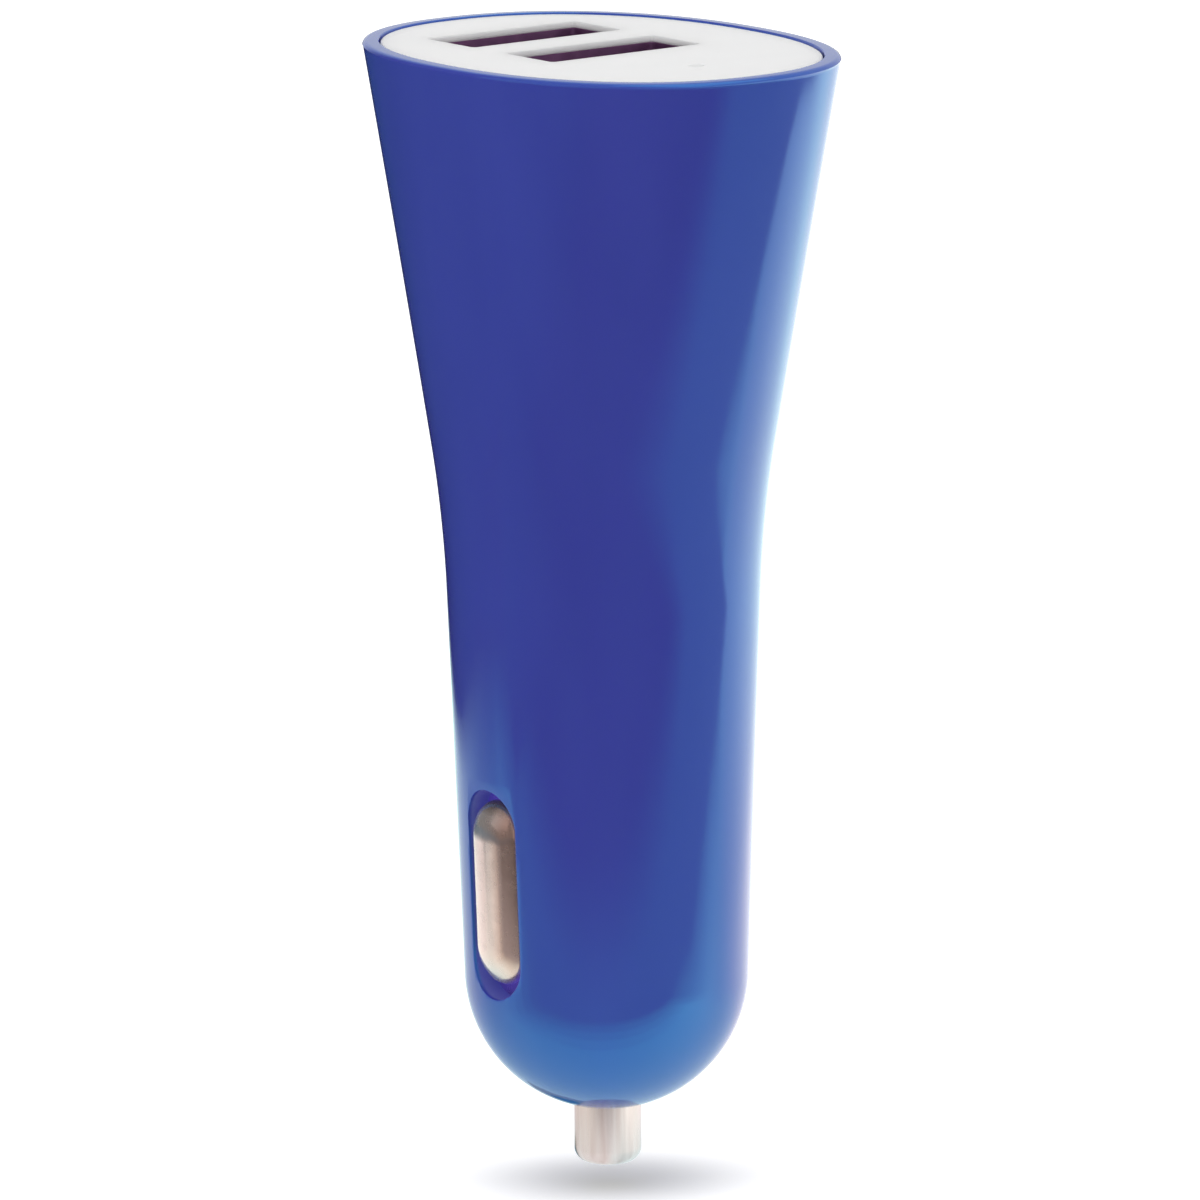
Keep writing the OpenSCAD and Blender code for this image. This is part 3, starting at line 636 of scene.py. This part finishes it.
lead = Surface("tinned_lead", Metallic=1.0)
lead.colour(lead.ramp(lead.noise(1.5), (0.3, (0.50, 0.50, 0.50)), (0.7, (0.66, 0.65, 0.64))))
lead.roughness(lead.noise(3), 0.28, 0.4)
lead.relief(lead.noise(6), 0.002)
dress(nodes["indicator_leads"], lead)

# Ports.
# Each port is a folded shell of nickel-plated steel round a moulded tongue with four gilt contacts.
# The CAD's own solids, dressed; only their mouths show through the face plate.
# The shells' steel is painted a dark purple, a painted shade inside the port mouths.
port_steel_painted_shade = Surface("port_steel_painted_shade", Metallic=1.0)
port_steel_painted_shade.colour(port_steel_painted_shade.ramp(port_steel_painted_shade.noise(0.9, detail=4), (0.3, (0.36, 0.17, 0.36)),
                                  (0.7, (0.44, 0.22, 0.43))))
port_steel_painted_shade.roughness(port_steel_painted_shade.noise(2), 0.36, 0.46)
port_steel_painted_shade.relief(port_steel_painted_shade.noise(3, stretch=(1, 1, 0.2)), 0.0008)
tongue = Surface("tongue_plastic")
tongue.colour(tongue.ramp(tongue.noise(1), (0.3, (0.012, 0.010, 0.014)), (0.7, (0.026, 0.022, 0.030))))
tongue.roughness(tongue.noise(3), 0.4, 0.55)
tongue.relief(tongue.noise(5), 0.003)
for end in ("front", "rear"):
    dress(nodes["port_shell_" + end], port_steel_painted_shade)
    dress(nodes["port_tongue_" + end], tongue)

# Face plate.
# Flat white moulding that drops into the rim: rounded edge, two port mouths, an indicator hole, and below it
# the skirt that locates it in the body, pockets for the port shells and a boss round the indicator.
plate_t = 2 * mm
plate_gap = 0.1 * mm
plate_edge = 0.16 * mm
skirt_h = 3 * mm
skirt_wall = 1 * mm
port_w = 12.5 * mm
port_h = 5.12 * mm
port_sheet = 0.3 * mm
port_lip = 0.45 * mm
port_middles = (-0.3 * mm, 8.3 * mm)
mouth_play = 0.05 * mm
pocket_play = 0.15 * mm
led_y = -10.3 * mm
led_r = 1.45 * mm
led_hole_r = 0.55 * mm
boss_wall = 0.9 * mm
mouth_corner = 0.3 * mm
pocket_corner = 0.85 * mm
mouth_round = 0.07 * mm
overcut = 1 * mm
plate_top = ledge_z + plate_t
plate_inset = rim_wall + plate_gap
skirt_inset = wall + plate_gap
plate_rings = [
    oval(ledge_z, ledge_z, skirt_inset + skirt_wall),
    oval(ledge_z - skirt_h, ledge_z - skirt_h, skirt_inset + skirt_wall),
    oval(ledge_z - skirt_h, ledge_z - skirt_h, skirt_inset),
    oval(ledge_z, ledge_z, skirt_inset),
    oval(ledge_z, total_h, plate_inset),
]
plate_rings += [oval(plate_top - plate_edge * (1 - math.sin(a)), total_h, plate_inset + plate_edge * (1 - math.cos(a)))
                for a in [0] + steps(0, math.pi / 2, 4)]
plate = ring_stack("face_plate_moulding", plate_rings, outer_around, cap=True)


def round_block(name, width, height, corner, low, high, centre_y):
    """An upright block with rounded vertical edges."""
    deselect()
    bpy.ops.mesh.primitive_cube_add(size=1, location=(0, centre_y, (low + high) / 2), scale=(width, height, high - low))
    block = bpy.context.object
    block.name = name
    bpy.ops.object.transform_apply(location=True, rotation=True, scale=True)
    bevel_edges(block, lambda e: abs(e.verts[0].co.z - e.verts[1].co.z) > (high - low) / 2, corner, 6)
    return block


def turned_block(name, radius, low, high, centre_y):
    deselect()
    bpy.ops.mesh.primitive_cylinder_add(vertices=64, radius=radius, depth=high - low,
                                        location=(0, centre_y, (low + high) / 2))
    block = bpy.context.object
    block.name = name
    bpy.ops.object.transform_apply(location=True, rotation=True, scale=True)
    return block


boss_low = ledge_z - skirt_h
cut(plate, turned_block("boss", led_r + boss_wall, boss_low, ledge_z + plate_t / 4, led_y), "UNION")
for middle in port_middles:
    cut(plate, round_block("mouth", port_w + 2 * mouth_play, port_h + 2 * mouth_play, mouth_corner,
                           ledge_z - overcut, plate_top + overcut, middle))
    shell_play = 2 * (port_sheet + pocket_play)
    cut(plate, round_block("pocket", port_w + shell_play, port_h + shell_play, pocket_corner,
                           ledge_z - overcut, plate_top - port_lip, middle))
cut(plate, turned_block("indicator_hole", led_hole_r, ledge_z - overcut, plate_top + overcut, led_y))
cut(plate, turned_block("indicator_bore", led_r + mouth_play, boss_low - overcut, ledge_z, led_y))


def mouth_edge(edge):
    """Whether the edge is on the plate's top, round a port mouth or the indicator hole."""
    a, b = edge.verts
    if min(a.co.z, b.co.z) < plate_top - 1e-6 or len(edge.link_faces) != 2:
        return False
    return edge.calc_face_angle(0) > 1.2


bevel_edges(plate, mouth_edge, mouth_round, 2)
smooth(plate, 30)
even = plate.modifiers.new("even", "WEIGHTED_NORMAL")
even.keep_sharp = True
even.weight = 100
bpy.ops.object.modifier_apply(modifier=even.name)
white = Surface("white_moulding", IOR=1.5, Subsurface_Weight=0.8, Subsurface_Radius=(1.0, 1.0, 1.0),
                Subsurface_Scale=1.5 * mm)
white.colour(white.ramp(white.noise(0.25, detail=3), (0.3, (0.965, 0.968, 0.975)), (0.7, (0.985, 0.986, 0.99))))
white.roughness(white.noise(1.5), 0.28, 0.4)
white.relief(white.noise(4, detail=3), 0.0012)
dress(plate, white)
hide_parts("face_plate")
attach(plate, "plug")

# Studio.
# A white floor just under the pin, a pale room, two soft lamps, and for reflections alone a bright table
# that ends in front of the plug and to its left, as the photograph's plastic shows it.
camera_turn = math.radians(-38.0)
camera_rise = math.radians(11.71)
camera_roll = math.radians(-0.40)
floor_z = -1.85 * mm
table_z = -1.5 * mm
far_off = 2000
across = Vector((math.cos(camera_turn), math.sin(camera_turn), 0))
away = Vector((-math.sin(camera_turn), math.cos(camera_turn), 0))


def card(name, corners, height):
    """A flat card on the floor; corners are (to the right, away from the camera) in mm."""
    mesh = bpy.data.meshes.new(name)
    points = [across * (r * mm) + away * (a * mm) + Vector((0, 0, height)) for r, a in corners]
    mesh.from_pydata(points, [], [list(range(len(points)))])
    board = bpy.data.objects.new(name, mesh)
    bpy.context.scene.collection.objects.link(board)
    return board


def node_material(name):
    material = bpy.data.materials.new(name)
    material.use_nodes = True
    material.node_tree.nodes.clear()
    tree = material.node_tree
    return material, tree, tree.nodes.new("ShaderNodeOutputMaterial")


whole_floor = [(-far_off, -far_off), (far_off, -far_off), (far_off, far_off), (-far_off, far_off)]
floor = card("floor", whole_floor, floor_z)
floor_paint, tree, out = node_material("floor_paint")
path = tree.nodes.new("ShaderNodeLightPath")
matt = tree.nodes.new("ShaderNodeBsdfDiffuse")
matt.inputs["Color"].default_value = (0.86, 0.86, 0.86, 1)
glow = tree.nodes.new("ShaderNodeEmission")
# Camera rays see the floor glow, and it glows less in an oval just behind the pin: a painted shadow under the plug.
lift = tree.nodes.new("ShaderNodeMath")
lift.operation = "MULTIPLY"
spot = tree.nodes.new("ShaderNodeTexCoord")
painted_shadow_oval = tree.nodes.new("ShaderNodeMapping")
painted_shadow_oval.vector_type = "TEXTURE"
painted_shadow_oval.inputs["Location"].default_value = across * (1.2 * mm) + away * (2.4 * mm) + Vector((0, 0, floor_z))
painted_shadow_oval.inputs["Rotation"].default_value = (0, 0, camera_turn)
painted_shadow_oval.inputs["Scale"].default_value = (1.11, 0.74, 1)
run = tree.nodes.new("ShaderNodeVectorMath")
run.operation = "LENGTH"
spread = tree.nodes.new("ShaderNodeMapRange")
spread.interpolation_type = "SMOOTHSTEP"
for socket, value in (("From Min", 1 * mm), ("From Max", 13 * mm), ("To Min", 0.13), ("To Max", 0.55)):
    spread.inputs[socket].default_value = value
tree.links.new(spot.outputs["Object"], painted_shadow_oval.inputs["Vector"])
tree.links.new(painted_shadow_oval.outputs["Vector"], run.inputs[0])
tree.links.new(run.outputs["Value"], spread.inputs["Value"])
tree.links.new(spread.outputs["Result"], lift.inputs[1])
both = tree.nodes.new("ShaderNodeAddShader")
clear = tree.nodes.new("ShaderNodeBsdfTransparent")
facing = tree.nodes.new("ShaderNodeNewGeometry")
pick = tree.nodes.new("ShaderNodeMixShader")
tree.links.new(path.outputs["Is Camera Ray"], lift.inputs[0])
tree.links.new(lift.outputs[0], glow.inputs["Strength"])
tree.links.new(matt.outputs[0], both.inputs[0])
tree.links.new(glow.outputs[0], both.inputs[1])
tree.links.new(facing.outputs["Backfacing"], pick.inputs[0])
tree.links.new(both.outputs[0], pick.inputs[1])
tree.links.new(clear.outputs[0], pick.inputs[2])
tree.links.new(pick.outputs[0], out.inputs["Surface"])
floor.data.materials.append(floor_paint)
floor.visible_glossy = False


def shade(tree, place, run, stops):
    """A colour that changes along run. stops are (mm, colour), from one side to the other."""
    turn = tree.nodes.new("ShaderNodeVectorMath")
    turn.operation = "DOT_PRODUCT"
    turn.inputs[1].default_value = run / mm
    scale = tree.nodes.new("ShaderNodeMapRange")
    scale.inputs["From Min"].default_value = stops[0][0]
    scale.inputs["From Max"].default_value = stops[-1][0]
    ramp = tree.nodes.new("ShaderNodeValToRGB")
    for _ in stops[2:]:
        ramp.color_ramp.elements.new(0.5)
    for element, (at, colour) in zip(ramp.color_ramp.elements, stops):
        element.position = (at - stops[0][0]) / (stops[-1][0] - stops[0][0])
        element.color = (*colour, 1)
    tree.links.new(place.outputs["Object"], turn.inputs[0])
    tree.links.new(turn.outputs["Value"], scale.inputs["Value"])
    tree.links.new(scale.outputs["Result"], ramp.inputs["Fac"])
    return ramp.outputs["Color"]


def reflected_card(name, corners, lift_mm, run, stops, depth_stops=()):
    """A card that only reflections see. Its colour changes along run, and along depth_stops away from the camera."""
    board = card(name, corners, table_z + lift_mm * mm)
    material, tree, out = node_material(name)
    glow = tree.nodes.new("ShaderNodeEmission")
    path = tree.nodes.new("ShaderNodeLightPath")
    direct = tree.nodes.new("ShaderNodeMath")
    direct.operation = "LESS_THAN"
    direct.inputs[1].default_value = 0.5
    place = tree.nodes.new("ShaderNodeTexCoord")
    colour = shade(tree, place, run, stops)
    if depth_stops:
        both = tree.nodes.new("ShaderNodeVectorMath")
        both.operation = "MULTIPLY"
        tree.links.new(colour, both.inputs[0])
        tree.links.new(shade(tree, place, away, depth_stops), both.inputs[1])
        colour = both.outputs["Vector"]
    tree.links.new(colour, glow.inputs["Color"])
    tree.links.new(path.outputs["Diffuse Depth"], direct.inputs[0])
    tree.links.new(direct.outputs[0], glow.inputs["Strength"])
    tree.links.new(glow.outputs[0], out.inputs["Surface"])
    board.data.materials.append(material)
    for ray in ("camera", "diffuse", "transmission", "volume_scatter", "shadow"):
        setattr(board, "visible_" + ray, False)


table_front = [(-160, -20), (-100, -26), (-60, -24), (-36, -17), (-16, -24), (0, -26), (17, -27), (39, -32), (51, -30),
               (61, -23), (90, -18), (112, -9), (144, 10), (171, 31), (182, 46), (187, 64), (190, 92), (200, 150),
               (260, 300), (600, 1000)]
table_back = [(500, 1200), (60, 700), (30, 330), (-15, 200), (-45, 150), (-78, 105), (-100, 80), (-125, 58), (-160, 30)]
across_stops = [(-155, (0.0, 0.0, 0.0)), (-105, (0.80, 0.86, 0.83)), (-75, (1.0, 1.03, 0.98)), (-40, (1.12, 1.2, 1.10)),
                (-16, (1.0, 1.33, 1.30)), (0, (1.05, 1.38, 1.42)), (15, (1.5, 1.7, 1.66)), (35, (1.9, 1.9, 1.75)),
                (55, (2.1, 1.85, 1.7)), (80, (1.85, 1.65, 1.58)), (130, (1.8, 1.65, 1.6)), (180, (1.8, 1.65, 1.65))]
away_stops = [(-8, (0.97, 0.97, 0.97)), (0, (0.88, 0.86, 0.86)), (6, (0.82, 0.80, 0.80)), (25, (1.0, 0.82, 0.84)),
              (50, (1.05, 0.92, 0.93)), (80, (1.1, 1.05, 1.05)), (110, (1.06, 1.13, 1.12)), (170, (1.0, 1.26, 1.22)),
              (200, (0.95, 1.18, 1.17)), (260, (0.86, 1.02, 1.05)), (400, (0.75, 0.87, 0.94))]
reflected_card("dark_room", whole_floor, 0.05, across,
               [(-300, (0.01, 0.08, 0.14)), (-150, (0.01, 0.06, 0.10)), (-75, (0.01, 0.01, 0.01)),
                (100, (0.01, 0.01, 0.01))])
reflected_card("table_side",
               [(-105, -90), (200, -140), (400, -40), (900, 300), (400, 900), (-40, 200), (-105, 60)], 0.1,
               away + 0.136 * across,
               [(-90, (0.01, 0.01, 0.01)), (-73, (0.14, 0.17, 0.19)), (-57, (0.30, 0.36, 0.40)),
                (100, (0.36, 0.42, 0.46))])
# The table's near edge is soft: five cards on one another, each further in and brighter.
# For each, its brightness, and how far its edge is moved in mm: four stretches of the front, and the left of the back.
table_cards = [(0.38, -14, -5, -4, -3, 16), (0.54, -7, -2, 0, -1, 9), (0.71, 0, 2, 6, 0, 2),
               (0.87, 6, 6, 13, 2, -5), (1.0, 12, 10, 20, 4, -12)]
for step, (level, left, near, right, far, behind) in enumerate(table_cards):
    front = [(r, a + (left if r <= -36 else near if r < 45 else right if r < 130 else far)) for r, a in table_front]
    rear = [(r, a + (behind if r < 0 else 0)) for r, a in table_back]
    reflected_card("table_top_%d" % (step + 1), front + rear, 0.12 + 0.02 * step, across,
                   [(at, [level * part for part in colour]) for at, colour in across_stops], away_stops)
# Just under the dome it is dimmer, and dimmer still beside the pin: a painted shadow of the plug on the table, seen
# only in reflections.
reflected_card("under_dome", [(-9, 8), (-7, 4.5), (-4.5, 2), (-2.5, 1.2), (-1.5, 3), (-2.5, 8), (-7, 11)], 0.24, across,
               [(-10, (0.42, 0.50, 0.42)), (0, (0.34, 0.50, 0.58))])
reflected_card("under_pin", [(-6.5, 7.5), (-5, 4.5), (-3.5, 3), (-2.5, 4), (-3.5, 8)], 0.26, across,
               [(-7, (0.02, 0.20, 0.34)), (0, (0.05, 0.34, 0.45))])

scene = bpy.context.scene
world = bpy.data.worlds.new("room")
scene.world = world
world.use_nodes = True
tree = world.node_tree
tree.nodes.clear()
out = tree.nodes.new("ShaderNodeOutputWorld")
room = tree.nodes.new("ShaderNodeBackground")
room.inputs["Strength"].default_value = 0.9
seen = tree.nodes.new("ShaderNodeBackground")
path = tree.nodes.new("ShaderNodeLightPath")
# Reflections find the room dark on the left and white on the right; the camera finds it white.
side = tree.nodes.new("ShaderNodeVectorMath")
side.operation = "DOT_PRODUCT"
side.inputs[1].default_value = 0.954 * across + 0.3 * away
dusk = tree.nodes.new("ShaderNodeMapRange")
dusk.interpolation_type = "SMOOTHSTEP"
for socket, value in (("From Min", -0.5), ("From Max", 0.1), ("To Min", 0.12), ("To Max", 1.0)):
    dusk.inputs[socket].default_value = value
bright = tree.nodes.new("ShaderNodeMath")
bright.operation = "MAXIMUM"
sky = tree.nodes.new("ShaderNodeTexCoord")
tree.links.new(sky.outputs["Generated"], side.inputs[0])
tree.links.new(side.outputs["Value"], dusk.inputs["Value"])
tree.links.new(dusk.outputs["Result"], bright.inputs[0])
tree.links.new(path.outputs["Is Camera Ray"], bright.inputs[1])
tree.links.new(bright.outputs[0], seen.inputs["Strength"])
first = tree.nodes.new("ShaderNodeMath")
first.operation = "MAXIMUM"
second = tree.nodes.new("ShaderNodeMath")
second.operation = "MAXIMUM"
blend = tree.nodes.new("ShaderNodeMixShader")
tree.links.new(path.outputs["Is Camera Ray"], first.inputs[0])
tree.links.new(path.outputs["Is Glossy Ray"], first.inputs[1])
tree.links.new(first.outputs[0], second.inputs[0])
tree.links.new(path.outputs["Is Transmission Ray"], second.inputs[1])
tree.links.new(second.outputs[0], blend.inputs[0])
tree.links.new(room.outputs[0], blend.inputs[1])
tree.links.new(seen.outputs[0], blend.inputs[2])
tree.links.new(blend.outputs[0], out.inputs["Surface"])


def soft_lamp(name, size, power, right, back, up):
    lamp = bpy.data.lights.new(name, "AREA")
    lamp.shape = "SQUARE"
    lamp.size = size
    lamp.energy = power
    holder = bpy.data.objects.new(name, lamp)
    scene.collection.objects.link(holder)
    holder.location = across * right + away * back + Vector((0, 0, up))
    aim = Vector((0, 0, 0.04)) - holder.location
    holder.rotation_mode = "QUATERNION"
    holder.rotation_quaternion = aim.to_track_quat("-Z", "Y")


soft_lamp("key", 1.0, 2.2, 0.30, -0.15, 1.0)
soft_lamp("fill", 1.0, 0.8, -0.6, -0.3, 0.7)

# Camera, at the photograph's angle.
target = Vector((0, 0, 0.039))
distance = 0.6823
back = -away * math.cos(camera_rise) + Vector((0, 0, math.sin(camera_rise)))
upward = across.cross(-back)
right_axis = across * math.cos(camera_roll) + upward * math.sin(camera_roll)
up_axis = upward * math.cos(camera_roll) - across * math.sin(camera_roll)
lens_data = bpy.data.cameras.new("camera")
lens_data.lens = 302.25
lens_data.sensor_width = 36
lens_data.shift_x = -0.0035
lens_data.shift_y = 0.0017
camera = bpy.data.objects.new("camera", lens_data)
scene.collection.objects.link(camera)
place = target + back * distance
camera.matrix_world = Matrix((
    (right_axis.x, up_axis.x, back.x, place.x),
    (right_axis.y, up_axis.y, back.y, place.y),
    (right_axis.z, up_axis.z, back.z, place.z),
    (0, 0, 0, 1),
))
scene.camera = camera
scene.view_settings.view_transform = "Standard"
